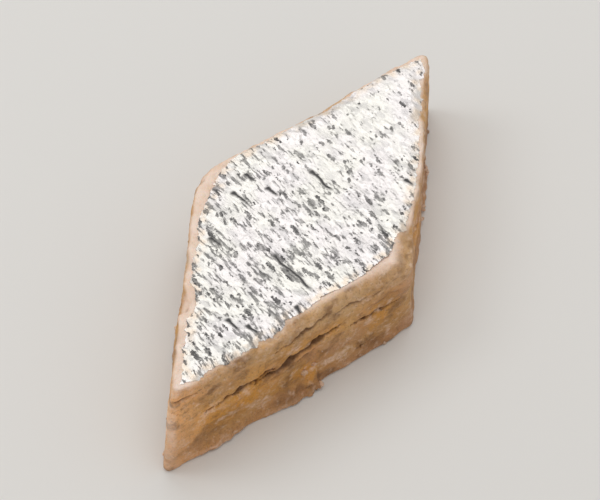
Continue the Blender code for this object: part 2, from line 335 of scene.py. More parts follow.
class LeafSettings(PropertyGroup):
    cell: length_setting("Cell", "Side of the cells that the leaf is made of", 0.17 * MM, least=0.1 * MM)
    thickness: length_setting("Thickness", "Thickness of the leaf's sheet", 0.02 * MM, least=0.005 * MM)
    wrinkles: length_setting("Wrinkles", "How high the crumpled leaf stands off the paste", 0.20 * MM)
    colour: colour_setting("Silver", "Colour of the leaf", (0.95, 0.908, 0.905))
    warm_colour: colour_setting(
        "Warm silver", "Colour of the leaf where the paste warms it", (0.95, 0.93, 0.875))
    # Painted darker reflections on the facets and in the crinkles of the leaf.
    facet_shade_colour: colour_setting("Dull silver", "Colour of the leaf's duller facets", (0.47, 0.46, 0.47))
    thin_colour: colour_setting(
        "Thin silver", "Colour of the leaf where the paste shows through its edge", (0.92, 0.79, 0.66))
    # Painted dark reflections and shadows in the leaf's crinkles, folds, pits and cracks.
    speck_shade_colour: colour_setting(
        "Specks", "Colour of the cracks and pits in the leaf", (0.065, 0.063, 0.064))


class CrumbSettings(PropertyGroup):
    count: IntProperty(
        name="Count", description="How many crumbs cling to the cut sides", default=34, min=1, max=400)
    size: length_setting("Size", "Width of the largest crumb", 1.0 * MM, least=0.1 * MM)
    seed: IntProperty(name="Seed", description="Seed of the crumbs' places", default=7)


class StageSettings(PropertyGroup):
    azimuth: FloatProperty(
        name="Azimuth", description="The camera's angle round the piece", subtype="ANGLE",
        default=math.radians(-61.6))
    elevation: FloatProperty(
        name="Elevation", description="The camera's angle above the floor", subtype="ANGLE",
        default=math.radians(48.5))
    distance: length_setting("Distance", "From the camera to the piece", 0.75)
    view_width: length_setting("View width", "Width of what the camera sees at the piece", 80 * MM)
    key_power: FloatProperty(
        name="Key light", description="Power of the softbox behind the piece", unit="POWER", default=0.60)
    sky_strength: FloatProperty(
        name="Sky strength", description="Strength of the light from all round", default=0.55, min=0)
    sky_colour: colour_setting("Sky", "Colour of the light from all round", (1.0, 0.985, 0.96))
    floor_colour: colour_setting("Floor", "Colour of the floor", (0.78, 0.77, 0.75))


def settings():
    """This object's settings in the scene."""
    return bpy.context.scene.kaju_barfi


def select_only(piece):
    """Leaves one piece selected, and makes it the active one."""
    bpy.ops.object.select_all(action="DESELECT")
    piece.select_set(True)
    bpy.context.view_layer.objects.active = piece


def apply_modifier(piece, kind, **values):
    """Adds a modifier with these values to the piece and applies it."""
    select_only(piece)
    modifier = piece.modifiers.new(kind.lower(), kind)
    for name, value in values.items():
        setattr(modifier, name, value)
    bpy.ops.object.modifier_apply(modifier=modifier.name)


@contextmanager
def editing(piece, parts="VERT"):
    """Keeps the piece in edit mode for the lines inside, with its vertices or faces to select."""
    select_only(piece)
    bpy.ops.object.mode_set(mode="EDIT")
    bpy.ops.mesh.select_mode(type=parts)
    yield
    bpy.ops.object.mode_set(mode="OBJECT")


def copy_of_node(node, name):
    """A merged copy of a CAD node, as a new piece. The node may be hidden already."""
    solid = frame["nodes"][node]
    hidden = solid.hide_viewport
    solid.hide_viewport = False
    select_only(solid)
    bpy.ops.object.duplicate()
    solid.hide_viewport = hidden
    piece = bpy.context.active_object
    piece.name = piece.data.name = name
    piece.hide_render = False
    del piece["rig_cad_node"]
    piece.data.materials.clear()
    with editing(piece):
        bpy.ops.mesh.select_all(action="SELECT")
        bpy.ops.mesh.remove_doubles(threshold=0.001 * MM)
    return piece


def remesh(piece, cell):
    """Gives the piece even cells, and smooths it until no facet of the CAD solid is left."""
    apply_modifier(piece, "REMESH", mode="VOXEL", voxel_size=cell, adaptivity=0.0)
    apply_modifier(piece, "SMOOTH", factor=0.5, iterations=6)


def set_group(piece, name, weigh):
    """A vertex group whose weights are given by a function of a vertex."""
    group = piece.vertex_groups.new(name=name)
    for vertex in piece.data.vertices:
        weight = weigh(vertex)
        if weight > 0:
            group.add([vertex.index], min(1, weight), "REPLACE")
    return name


def ramp(value, start, end):
    """0 below start, 1 above end, and smooth between them. It falls where start is above end."""
    share = min(1, max(0, (value - start) / (end - start)))
    return share * share * (3 - 2 * share)


def rough(place, reach, depth, level=0.0):
    """A level with a noise about it that changes over the reach. The place and reach are in millimetres."""
    return level + depth * noise.noise(place / reach)


def press(piece, depth, reach, detail, group):
    """Presses clouds that reach so far along x, y and z into the piece, in and out by half the depth."""
    clouds = bpy.data.textures.new("clouds", "CLOUDS")
    clouds.noise_scale = 1.0
    clouds.noise_depth = detail
    bpy.ops.object.empty_add(location=(0, 0, 0))
    guide = bpy.context.active_object
    guide.scale = reach
    bpy.context.view_layer.update()
    apply_modifier(
        piece, "DISPLACE", texture=clouds, texture_coords="OBJECT", texture_coords_object=guide,
        strength=depth, mid_level=0.5, vertex_group=group)
    bpy.data.objects.remove(guide)


def bends(piece, rounds):
    """How sharply the surface bends at each vertex: above 0 on edges and lumps, below 0 in cracks."""
    mesh = piece.data
    places = read_all(mesh.vertices, "co", 3)
    normals = read_all(mesh.vertex_normals, "vector", 3)
    first, second = read_all(mesh.edges, "vertices", 2, int).T
    along = places[second] - places[first]
    along /= numpy.linalg.norm(along, axis=1)[:, None]
    drop_first = -(along * normals[first]).sum(axis=1)
    drop_second = (along * normals[second]).sum(axis=1)
    return blurred(piece, spread_mean(piece, drop_first, drop_second), rounds)


def blurred(piece, values, rounds):
    """The values of the vertices, each averaged over its neighbours so many times."""
    first, second = read_all(piece.data.edges, "vertices", 2, int).T
    for _ in range(rounds):
        values = spread_mean(piece, values[second], values[first])
    return values


def read_all(items, name, width, kind=float):
    """One property of all the items, as an array with a row for each."""
    values = numpy.empty(len(items) * width, kind)
    items.foreach_get(name, values)
    return values.reshape(-1, width)


def spread_mean(piece, at_first, at_second):
    """The mean at each vertex of what its edges give to their first and second ends."""
    first, second = read_all(piece.data.edges, "vertices", 2, int).T
    count = len(piece.data.vertices)
    total = numpy.bincount(first, at_first, count) + numpy.bincount(second, at_second, count)
    return total / numpy.bincount(numpy.concatenate((first, second)), minlength=count)


def place_on_side(vertex):
    """The cut side that a vertex faces the same way as, and how far along that side it lies."""
    def facing(side):
        return vertex.normal.x * RUNS[side].y - vertex.normal.y * RUNS[side].x

    side = max(SIDES, key=facing)
    return side, share_along(side, vertex.co)


def room(side, place):
    """How far a point lies inside a cut side, in plan."""
    return RUNS[side].normalized().cross(place - CORNERS[side]).z


def nearest_side(place):
    """The cut side that a point is nearest to, in plan."""
    return min(SIDES, key=lambda side: room(side, place))


def inside(place):
    """How far a point lies inside the nearest cut side, in plan."""
    return room(nearest_side(place), place)


def share_along(side, place):
    """How far along a cut side a point lies, as a share of its length."""
    return (place - CORNERS[side]).dot(RUNS[side]) / RUNS[side].length_squared


def stretch(share, start, end, growth, fall):
    """1 from start to end and 0 outside them, with a growth and a fall of such lengths just inside."""
    return ramp(share, start, start + growth) * ramp(share, end, end - fall)


def crumbled(side, place):
    """How far the crown has crumbled beside a point, from 0 to 1."""
    share = share_along(side, place)
    depths = [
        part.depth * stretch(share, part.start, part.end, CRUMBLED_FADE, CRUMBLED_FADE)
        for part in CRUMBLED if part.side == side]
    return max(depths, default=0)


def wear(vertex):
    """How far the crown has crumbled at a vertex, from 0 to 1."""
    side = nearest_side(vertex.co)
    near = ramp(room(side, vertex.co), *WORN_REACH)
    if near == 0:
        return 0
    depth = crumbled(side, vertex.co) * rough(vertex.co * PER_MM, reach=1.5, depth=0.8, level=0.8)
    return near * depth * ramp(vertex.co.z, *WORN_RISE)


def wear_down(piece):
    """Sinks the piece where the crown has crumbled."""
    worn = set_group(piece, "worn", wear)
    apply_modifier(
        piece, "DISPLACE", strength=-settings().paste.worn, mid_level=0.0, vertex_group=worn, direction="Z")


def mark(piece, name, values):
    """Gives each vertex of the piece a value of its own, for the piece's material to read."""
    piece.data.attributes.new(name, "FLOAT", "POINT").data.foreach_set("value", values)


def rim_uses(piece):
    """How many edges of the piece's open rim meet at each vertex of it."""
    uses = Counter(key for face in piece.data.polygons for key in face.edge_keys)
    return Counter(index for key, count in uses.items() if count == 1 for index in key)


def rim_ruler(piece):
    """A function that says how far a point lies from the piece's open rim, as the rim is now."""
    rim = sorted(rim_uses(piece))
    tree = KDTree(len(rim))
    for order, index in enumerate(rim):
        tree.insert(piece.data.vertices[index].co, order)
    tree.balance()
    return lambda place: tree.find(place)[2]


def finish_piece(piece, material, node=None):
    """Shades the piece, gives it its material, ties it to the CAD model's root body, and hides the node it
    replaces.
    """
    select_only(piece)
    bpy.ops.object.shade_smooth_by_angle(angle=SHARP_EDGE)
    piece.vertex_groups.clear()
    piece.data.materials.append(material)
    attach(piece, "root")
    if node:
        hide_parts(node)


class Shader:
    """A material's node tree, with the object's coordinates in millimetres at hand."""

    def __init__(self, name):
        self.material = bpy.data.materials.new(name)
        self.material.use_nodes = True
        self.tree = self.material.node_tree
        self.surface = self.tree.nodes["Principled BSDF"]
        place = self.add("TexCoord").outputs["Object"]
        self.mm = self.add("Mapping", {"Vector": place, "Scale": (PER_MM,) * 3}).outputs[0]

    def add(self, kind, sockets=(), **values):
        """A node, with values or links for its sockets and for its own settings."""
        made = self.tree.nodes.new("ShaderNode" + kind)
        for name, value in values.items():
            setattr(made, name, value)
        for name, value in dict(sockets).items():
            self.put(made.inputs[name], value)
        return made

    def put(self, socket, value):
        """Links an output to the socket, or sets its value."""
        if isinstance(value, bpy.types.NodeSocket):
            self.tree.links.new(value, socket)
        else:
            socket.default_value = value

    def stretched(self, reach, turn=0.0):
        """Coordinates that stretch a pattern of size 1 to this reach in millimetres, turned about z."""
        turned = self.add("Mapping", {"Vector": self.mm, "Rotation": (0, 0, -turn)}).outputs[0]
        return self.add("Mapping", {"Vector": turned, "Scale": [1 / r for r in reach]}).outputs[0]

    def noise(self, reach, detail, roughness=0.5, turn=0.0):
        """Clouds that reach so many millimetres along each axis, turned about z."""
        place = self.stretched(reach, turn)
        sockets = {"Vector": place, "Scale": 1.0, "Detail": detail, "Roughness": roughness}
        return self.add("TexNoise", sockets).outputs["Fac"]

    def marks(self, name):
        """What a piece's own attribute says."""
        return self.add("Attribute", attribute_name=name, attribute_type="GEOMETRY").outputs["Fac"]

    def cells(self, place):
        """Cells of size 1, each with a colour of its own and the distance from its middle."""
        return self.add("TexVoronoi", {"Vector": place, "Scale": 1.0})

    def axes(self, vector):
        """The three numbers of a vector or colour."""
        return self.add("SeparateXYZ", {"Vector": vector}).outputs

    def warped(self, place, reach, amount):
        """Coordinates pushed about by a noise of this reach, so that a pattern on them loses its order."""
        push = self.add("TexNoise", {"Vector": self.stretched((reach,) * 3), "Scale": 1.0, "Detail": 2.0})
        warp = self.add("VectorMath", operation="MULTIPLY_ADD")
        self.put(warp.inputs[0], push.outputs["Color"])
        warp.inputs[1].default_value = (amount, amount, 0)
        self.put(warp.inputs[2], place)
        return warp.outputs[0]

    def specks(self, reach, turn, density, smallest, largest):
        """Dashes of uneven size and darkness, one to a cell, which grow with the density."""
        cells = self.cells(self.warped(self.stretched(reach, turn), reach=1.3, amount=0.6))
        chance = self.axes(cells.outputs["Color"])
        size = self.join("ADD", self.span(chance[0], 0, 1, smallest, largest), density)
        core = self.join("SUBTRACT", size, 0.08)
        ragged = self.span(self.noise((0.3, 0.3, 0.3), detail=1), 0.3, 0.7, -0.09, 0.09)
        away = self.join("ADD", cells.outputs["Distance"], ragged)
        darkness = self.span(chance[1], 0, 1, 0.8, 1.0)
        return self.span(away, size, core, 0, darkness)

    def span(self, value, low, high, to_low=0.0, to_high=1.0):
        """The value, with low to high mapped smoothly to other limits."""
        sockets = {"Value": value, "From Min": low, "From Max": high, "To Min": to_low, "To Max": to_high}
        return self.add("MapRange", sockets, interpolation_type="SMOOTHSTEP").outputs[0]

    def join(self, operation, first, second):
        """One value made of two, by one of the Math node's operations."""
        made = self.add("Math", operation=operation)
        self.put(made.inputs[0], first)
        self.put(made.inputs[1], second)
        return made.outputs[0]

    def mix(self, share, first, second):
        """A mix of two colours."""
        made = self.add("Mix", data_type="RGBA")
        self.put(made.inputs[0], share)
        for place, value in zip(MIX_COLOURS, (first, second)):
            self.put(made.inputs[place], value if isinstance(value, bpy.types.NodeSocket) else (*value, 1))
        return made.outputs[MIX_RESULT]

    def tint(self, colour, tone, value, start, full, share=1.0):
        """The colour, with up to a share of a tone mixed in as the value goes from start to full."""
        return self.mix(self.span(value, start, full, 0, share), colour, tone)

    def bump(self, heights):
        """Bumps of several heights, each (height, strength, depth in millimetres), one over the other."""
        normal = None
        for height, strength, depth in heights:
            sockets = {"Height": height, "Strength": strength, "Distance": depth * MM}
            if normal:
                sockets["Normal"] = normal
            normal = self.add("Bump", sockets).outputs[0]
        return normal

    def done(self, **sockets):
        """Sets the surface's sockets, named with low lines for spaces."""
        for name, value in sockets.items():
            self.put(self.surface.inputs[name.replace("_", " ")], value)
        return self.material


def paste_material(look):
    """Ground cashew and sugar: layered tan paste, with painted shade in its cracks, hollows, pits and
    towards its foot, painted highlights on its edges and corners, painted top light on its crown, and
    painted warm light at its front tip.
    """
    shader = Shader("cashew_paste_finish")
    blotches = shader.noise((6, 6, 3.5), detail=3)
    layers = shader.noise((7, 7, 3.2), detail=3, roughness=0.55)
    patches = shader.noise((9, 9, 6), detail=2)
    smears = shader.noise((3.4, 3.4, 2.0), detail=4, roughness=0.62)
    crumble = shader.noise((0.9, 0.9, 0.7), detail=3, roughness=0.6)
    grain = shader.noise((0.30, 0.30, 0.26), detail=2, roughness=0.6)
    pits = shader.cells(shader.stretched((0.9, 0.9, 0.7))).outputs["Distance"]
    along, _, height = shader.axes(shader.mm)
    # Golden stains, and a painted warm light that grows towards the front tip.
    golden = shader.join("MAXIMUM", shader.marks("golden"), shader.span(along, *GOLDEN_LIGHT_STRETCH, 0, 0.3))
    dusty = shader.join("MULTIPLY", shader.marks("dusty"), 0.8)
    ungilded = shader.span(golden, 0, 1, 1, 0.4)
    # Painted shade towards the foot, less where the paste is golden.
    shade = shader.join("MULTIPLY", shader.span(height, *SHADED_FOOT, 0, 0.36), ungilded)
    # Painted highlights on the edges and corners and painted top light on the crown, broken up by the
    # smears; on the crumbs only their own paler tone.
    pale = shader.join("MULTIPLY", shader.marks("rubbed"), shader.span(smears, 0.62, 0.42, 0.72, 1.0))
    # Painted shade in the cracks and concave hollows.
    sunken = shader.join("MULTIPLY", shader.marks("sunken"), 0.85)

    colour = shader.mix(shader.span(blotches, 0.35, 0.65, 0.35, 1.0), look.golden_and_warm_light_colour, look.colour)
    colour = shader.tint(colour, look.rosy_colour, patches, 0.48, 0.62, share=0.55)
    colour = shader.tint(colour, look.rosy_colour, height, *ROSY_FOOT, share=0.6)
    colour = shader.mix(golden, colour, look.golden_and_warm_light_colour)
    colour = shader.mix(dusty, colour, look.dusty_colour)
    # Painted warm highlight at the front tip.
    colour = shader.tint(colour, look.tip_light_colour, along, *TIP_LIGHT_STRETCH, share=0.85)
    colour = shader.tint(colour, look.deep_and_shade_colour, layers, 0.50, 0.32, share=0.5)
    colour = shader.mix(shade, colour, look.deep_and_shade_colour)
    colour = shader.tint(colour, look.deep_and_shade_colour, smears, 0.50, 0.32, share=0.78)
    colour = shader.tint(colour, look.pale_colour, smears, 0.54, 0.72, share=0.46)
    colour = shader.tint(colour, look.pale_colour, crumble, 0.52, 0.72, share=0.24)
    colour = shader.tint(colour, look.deep_and_shade_colour, grain, 0.46, 0.28, share=0.46)
    # Painted shade in the pits, where the dents are.
    colour = shader.tint(colour, look.deep_and_shade_colour, pits, 0.13, 0.04, share=0.4)
    colour = shader.mix(pale, colour, look.pale_colour)
    colour = shader.mix(sunken, colour, look.crack_shade_colour)
    dents = shader.span(pits, 0.0, 0.2)
    normal = shader.bump(((crumble, 0.7, 0.26), (grain, 1.0, 0.17), (dents, 0.6, 0.12)))
    return shader.done(
        Base_Color=colour, Roughness=shader.span(grain, 0.3, 0.7, 0.48, 0.68), Normal=normal,
        Subsurface_Weight=0.12, Subsurface_Radius=(1.0, 0.55, 0.3), Subsurface_Scale=0.8 * MM)


def leaf_material(look):
    """Beaten silver, bright and crinkled, with painted darker reflections on its facets and crinkles, and
    dark specks that thicken towards the front tip: painted dark reflections and shadows of its crinkles,
    folds, pits and cracks.
    """
    shader = Shader("silver_leaf_finish")
    along = shader.axes(shader.mm)[0]
    tint = shader.noise((5, 5, 5), detail=1)
    patches = shader.noise((9, 9, 9), detail=2)
    crinkles = shader.noise((0.7, 0.35, 0.6), detail=3, roughness=0.6, turn=CREASE_ANGLE)
    tarnish = shader.noise((0.7, 0.28, 9), detail=3, roughness=0.7, turn=CREASE_ANGLE)
    valleys = shader.noise((1.8, 0.5, 9), detail=3, roughness=0.6, turn=CREASE_ANGLE - 0.05)
    plates = shader.stretched((1.5, 0.85, 9), turn=CREASE_ANGLE)
    facets = shader.cells(shader.warped(plates, reach=1.0, amount=0.6))
    glances = shader.axes(facets.outputs["Color"])[0]

    thicker = shader.span(along, *SPECKED_STRETCH, -0.05, 0.045)
    density = shader.join("ADD", thicker, shader.span(patches, 0.35, 0.65, -0.03, 0.02))
    cracks = shader.span(shader.join("SUBTRACT", valleys, density), 0.44, 0.37, 0, 0.8)
    dashes = shader.specks((3.0, 1.0, 9), CREASE_ANGLE - 0.12, density, smallest=0.13, largest=0.37)
    dots = shader.specks((1.6, 0.85, 9), CREASE_ANGLE - 0.4, density, smallest=-0.04, largest=0.35)
    specks = shader.join("MAXIMUM", cracks, shader.join("MAXIMUM", dashes, dots))
    specks = shader.join("MULTIPLY", specks, shader.span(tarnish, 0.35, 0.6, 0.65, 1.0))
    # Painted shade along the folds.
    specks = shader.join("MAXIMUM", specks, shader.marks("fold_shade"))

    colour = shader.mix(shader.span(tint, 0.35, 0.65), look.colour, look.warm_colour)
    colour = shader.tint(colour, look.thin_colour, shader.marks("thin"), 0, 1)
    # Painted darker reflections on some facets and in the crinkles.
    colour = shader.tint(colour, look.facet_shade_colour, glances, 0.6, 1.0, share=0.4)
    colour = shader.tint(colour, look.facet_shade_colour, crinkles, 0.46, 0.32, share=0.4)
    # Painted dark reflections and shadows as specks.
    colour = shader.mix(specks, colour, look.speck_shade_colour)
    worn = shader.join("MULTIPLY", specks, 0.3)
    roughness = shader.join("ADD", shader.span(crinkles, 0.3, 0.7, 0.30, 0.18), worn)
    normal = shader.bump(((crinkles, 0.8, 0.12), (specks, -0.6, 0.06)))
    return shader.done(Base_Color=colour, Roughness=roughness, Normal=normal, Metallic=0.45)


def floor_material(look):
    """A plain, dull floor."""
    return Shader("floor_finish").done(Base_Color=(*look.floor_colour, 1), Roughness=0.7)


class BARFI_OT_paste(Operator):
    """Makes the lozenge of cashew paste, with its splits, knife lumps, foot lips and crumbled crown"""

    bl_idname = "barfi.paste"
    bl_label = "Cashew Paste"

    def execute(self, context):
        look = settings().paste
        paste = copy_of_node("cashew_paste", "barfi_paste")
        remesh(paste, look.cell)
        gape = numpy.array([self.gape(vertex, look.seam_height) for vertex in paste.data.vertices])
        splits = set_group(paste, "splits", lambda vertex: gape[vertex.index])
        lips = set_group(paste, "lips", self.lip)
        sides = set_group(paste, "cut sides", self.cut)
        apply_modifier(paste, "DISPLACE", strength=look.lip, mid_level=0.0, vertex_group=lips)
        for lumps in LUMPS:
            reach = (lumps.reach * MM, lumps.reach * MM, lumps.rise * MM)
            press(paste, depth=look.lumps * lumps.depth, reach=reach, detail=1, group=sides)
        apply_modifier(paste, "DISPLACE", strength=-look.split, mid_level=0.0, vertex_group=splits)
        wear_down(paste)
        self.mark_tones(paste, gape)
        bed = set_group(paste, "bed", self.bed)
        apply_modifier(paste, "DISPLACE", strength=-look.bed, mid_level=0.0, vertex_group=bed)
        hidden = set_group(paste, "hidden", self.hidden)
        apply_modifier(paste, "DECIMATE", ratio=HIDDEN_RATIO, vertex_group=hidden)
        finish_piece(paste, paste_material(look), node="cashew_paste")
        return {"FINISHED"}

    def gape(self, vertex, seam_height):
        """How far a crack is open at a vertex, from 0 to 1."""
        if abs(vertex.normal.z) > OFF_SIDE:
            return 0
        side, share = place_on_side(vertex)
        place = Vector((vertex.co.x, vertex.co.y, 0)) * PER_MM
        seam = seam_height * PER_MM + SEAM_SWING * noise.noise(place / SEAM_REACH + SEAM_START)
        deepest = 0
        for crack in CRACKS:
            if crack.side == side and crack.start < share < crack.end:
                spot = Vector((place.x, place.y, 3 * crack.above))
                wander = rough(spot, reach=2.2, depth=0.35) + rough(spot, reach=0.6, depth=0.24)
                ragged = max(0.3, 0.8 + 0.9 * noise.noise(spot / 1.5 + APART))
                ends = math.sin(math.pi * (share - crack.start) / (crack.end - crack.start)) ** 0.8
                away = abs(vertex.co.z * PER_MM - seam - crack.above - wander)
                width = LEAST_GAPE + crack.width * ragged * ends
                deepest = max(deepest, crack.depth * min(1, ragged) * ramp(away, width, 0))
        return deepest

    def cut(self, vertex):
        """1 on the cut sides, falling to 0 on the flats and at the very foot."""
        return ramp(vertex.normal.z, *LUMPS_LEAN) * ramp(vertex.co.z, *LUMPS_RISE)

    def bed(self, vertex):
        """How far a vertex lies inside the flat top, from 0 to 1."""
        return ramp(inside(vertex.co), *BED_REACH) if vertex.normal.z > TOP_FLAT else 0

    def hidden(self, vertex):
        """1 on the underside and well inside the top, under the leaf, where no small form shows."""
        covered = inside(vertex.co) > HIDDEN_REACH and vertex.normal.z > TOP_FLAT
        return 1 if covered or vertex.normal.z < UNDERSIDE else 0

    def lip(self, vertex):
        """How far the foot is pressed out at a vertex, from 0 to 1."""
        side, share = place_on_side(vertex)
        low = ramp(vertex.co.z, *LIP_RISE) * ramp(vertex.normal.z, *LIP_LEAN)
        ragged = rough(vertex.co * PER_MM, reach=1.2, depth=0.5, level=0.75)
        widths = [
            lip.width * ragged * stretch(share, lip.start, lip.end, lip.growth, lip.fall)
            for lip in LIPS if lip.side == side]
        return low * max(0, *widths)

    def mark_tones(self, paste, gape):
        """Marks the paste with its tones, for its material to read."""
        vertices = paste.data.vertices
        top = [ramp(vertex.normal.z, *TOP_LEAN) * ramp(vertex.co.z, *TOP_RISE) for vertex in vertices]
        bend = bends(paste, rounds=3)
        beside = blurred(paste, (gape > CRACK_GAPE[0]).astype(float), rounds=8)
        cover = blurred(paste, numpy.array(top), rounds=10)
        rows = [self.tones(*row) for row in zip(vertices, bend, gape, beside, cover)]
        for name, values in zip(Tones._fields, zip(*rows)):
            mark(paste, name, values)

    def tones(self, vertex, bend, gape, beside, cover):
        """The tones at a vertex, from how its surface bends, how far a crack is open there, how near one is,
        and how far the vertex belongs to the top."""
        patch = rough(vertex.co * PER_MM, reach=1.6, depth=0.25)
        # Painted highlights on the convex edges, and below on the upright corners.
        edge = ramp(bend, *EDGE_BEND) * (0.42 + 0.5 * patch) * ramp(beside, *CRACK_BESIDE)
        edge *= 0.4 + 0.6 * ramp(vertex.co.z, *EDGE_RISE)
        edge = max(edge, self.corner(vertex) * (0.48 + 2.0 * patch))
        side = nearest_side(vertex.co)
        tan = crumbled(side, vertex.co) * ramp(room(side, vertex.co), *TAN_REACH) * (0.75 + 1.8 * patch)
        worn = max(wear(vertex), tan)
        # Painted top light on the crown, less where it has crumbled.
        crown = ramp(cover + patch - 0.95 * worn, *TOP_COVER)
        return Tones(
            rubbed=max(crown, edge * (1 - worn)) * (1 - gape),
            # Painted shade in the concave hollows and in the open cracks.
            sunken=max(ramp(bend, *HOLLOW_BEND) * 0.5, ramp(gape, *CRACK_GAPE)),
            golden=self.stain(vertex),
            dusty=worn * ramp(vertex.co.z + 4 * MM * patch, *DUSTY_RISE))

    def corner(self, vertex):
        """How near a vertex is to one of the upright edges at the corners, from 0 to 1."""
        ragged = rough(vertex.co * PER_MM, reach=0.9, depth=0.5 * MM)
        return (0.3 + 0.7 * ramp(vertex.co.z, *CORNER_RISE)) * max(
            ramp((vertex.co.xy - corner.xy).length + ragged, *edge)
            for corner, edge in zip(CORNERS, CORNER_EDGES))

    def stain(self, vertex):
        """How golden the paste is at a vertex, from 0 to 1."""
        if abs(vertex.normal.z) > TOP_FLAT:
            return 0
        side, share = place_on_side(vertex)
        length = RUNS[side].length * PER_MM
        ragged = rough(vertex.co * PER_MM, reach=1.8, depth=0.9, level=1)
        deepest = 0
        for stain in STAINS:
            if stain.side == side:
                above = 1.4 * (vertex.co.z * PER_MM - stain.height)
                away = math.hypot((share - stain.share) * length, above) * ragged
                deepest = max(deepest, ramp(away, stain.reach, 0.3 * stain.reach))
        return deepest


class BARFI_OT_crumbs(Operator):
    """Makes small crumbs that cling to the cut sides, most of them low down"""

    bl_idname = "barfi.crumbs"
    bl_label = "Crumbs"

    def execute(self, context):
        look = settings().crumbs
        paste = bpy.data.objects["barfi_paste"]
        chance = random.Random(look.seed)
        bpy.context.view_layer.update()
        made = [self.crumb(paste, look.size, chance) for _ in range(look.count)]
        select_only(made[0])
        for crumb in made:
            crumb.select_set(True)
        bpy.ops.object.join()
        crumbs = context.active_object
        crumbs.name = crumbs.data.name = "barfi_crumbs"
        everywhere = set_group(crumbs, "all", lambda vertex: 1)
        press(crumbs, depth=look.size * 0.6, reach=(0.4 * MM,) * 3, detail=2, group=everywhere)
        # On the crumbs this tone is only their own random paler tone, no highlight.
        mark(crumbs, "rubbed", [
            rough(vertex.co * PER_MM, reach=3, depth=0.5, level=0.35) for vertex in crumbs.data.vertices])
        finish_piece(crumbs, bpy.data.materials["cashew_paste_finish"])
        return {"FINISHED"}

    def crumb(self, paste, largest, chance):
        """One crumb, sunk into a cut side by part of its width."""
        hit = False
        while not hit:
            side, share = chance.randrange(4), chance.uniform(*CRUMB_SPAN)
            if chance.random() < CRUMBS_AT_LIPS:
                share = max(lip.end for lip in LIPS if lip.side == side) + chance.uniform(*LIP_SPAN)
            place = CORNERS[side].lerp(CORNERS[(side + 1) % 4], share)
            run = RUNS[side].normalized()
            out = Vector((run.y, -run.x, 0))
            size = largest * chance.uniform(SMALLEST_CRUMB, 1.0)
            place.z = size + CRUMB_RISE * chance.random() ** 4
            hit, spot, normal, _ = paste.ray_cast(place + out * OUTSIDE, -out)
        bpy.ops.mesh.primitive_ico_sphere_add(
            subdivisions=3, radius=size / 2, location=spot + normal * size * CRUMB_STAND)
        crumb = bpy.context.active_object
        crumb.scale = [chance.uniform(*CRUMB_STRETCH) for _ in range(3)]
        crumb.rotation_euler = [chance.uniform(0, math.tau) for _ in range(3)]
        bpy.ops.object.transform_apply(location=True, rotation=True, scale=True)
        return crumb


